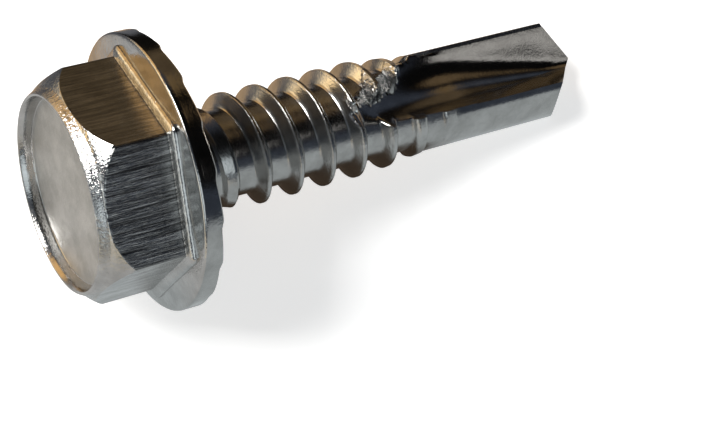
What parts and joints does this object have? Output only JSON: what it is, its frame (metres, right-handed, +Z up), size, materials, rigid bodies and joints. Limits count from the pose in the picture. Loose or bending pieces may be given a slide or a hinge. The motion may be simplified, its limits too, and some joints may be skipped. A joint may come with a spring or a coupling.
{
  "type": "self drilling screw",
  "caption": "Hexagon head screw with a serrated flange, a self-tapping thread and a fluted drill point, lying at rest.",
  "frame": {"origin": "centre of the bounding box at floor level, with the screw lying at rest on its flange and its drill point", "axes": "+X from the head towards the drill point as seen from above, +Y across the screw, +Z up from the floor"},
  "size_m": [0.0236, 0.0108, 0.0106],
  "materials": {
    "plated_steel": "Case-hardened carbon steel with a thin bright zinc plating, satin on the turned and forged faces and rougher at the trimmed edges."
  },
  "bodies": {
    "root": {"screw": "plated_steel"}
  },
  "joints": []
}
